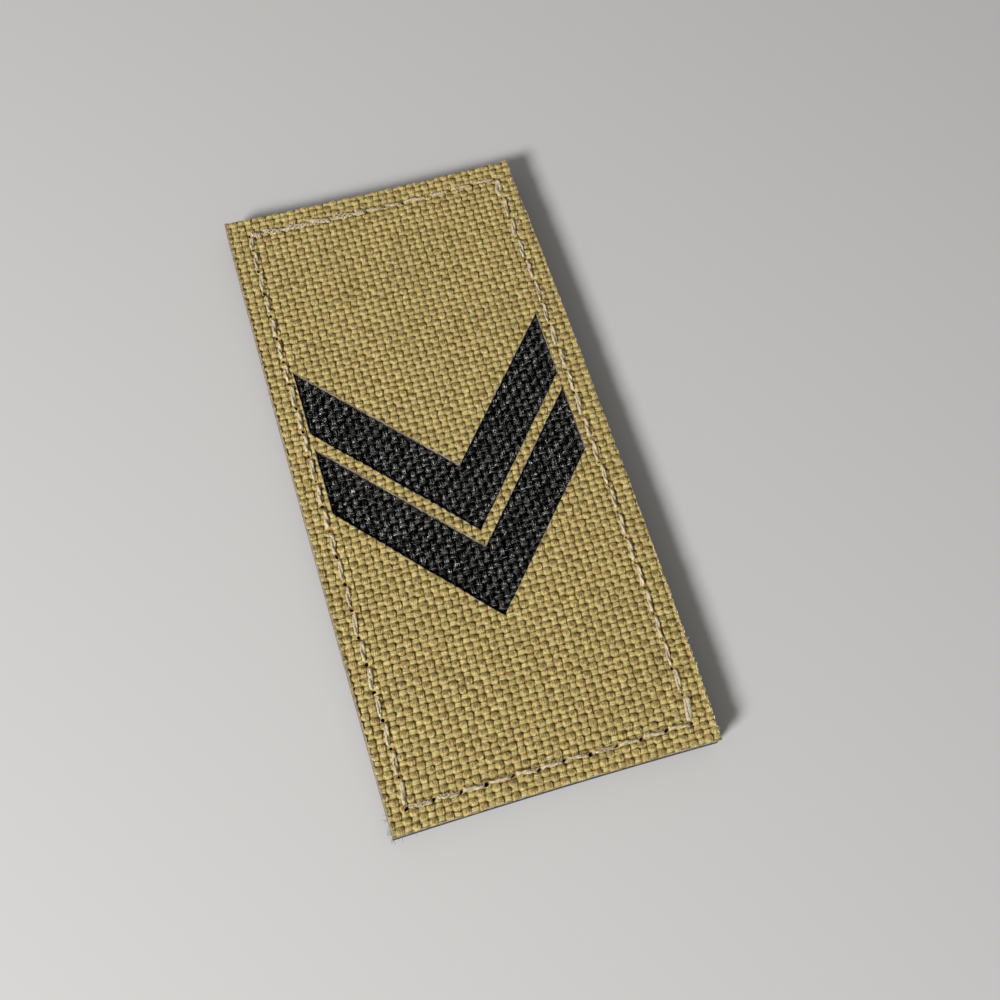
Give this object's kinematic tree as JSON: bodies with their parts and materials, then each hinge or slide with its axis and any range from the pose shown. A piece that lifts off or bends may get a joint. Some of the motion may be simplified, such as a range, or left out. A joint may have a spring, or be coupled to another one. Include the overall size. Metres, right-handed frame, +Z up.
{
  "type": "rank patch",
  "caption": "Flat rectangular cloth rank patch: tan woven face with V chevron windows over black cloth, stitched to a hook tape backing.",
  "frame": {"origin": "middle of the patch in plan, on the plane that the tips of the hooks rest on", "axes": "+Z up, out of the tan face; +Y along the length, away from the points of the chevrons; +X across the patch, to the right as the face is read"},
  "size_m": [0.0428, 0.088, 0.004],
  "materials": {
    "tan_cloth": "coarse plain-woven nylon, dull with a slight yarn sheen",
    "black_cloth": "coarse plain-woven black nylon, glossy on the crowns of the yarns",
    "hook_tape": "black woven tape with stiff nylon hooks",
    "stitch_thread": "cream twisted sewing thread, soft sheen"
  },
  "bodies": {
    "root": {"face_cloth": "tan_cloth", "black_underlay": "black_cloth", "hook_tape": "hook_tape"}
  },
  "joints": []
}
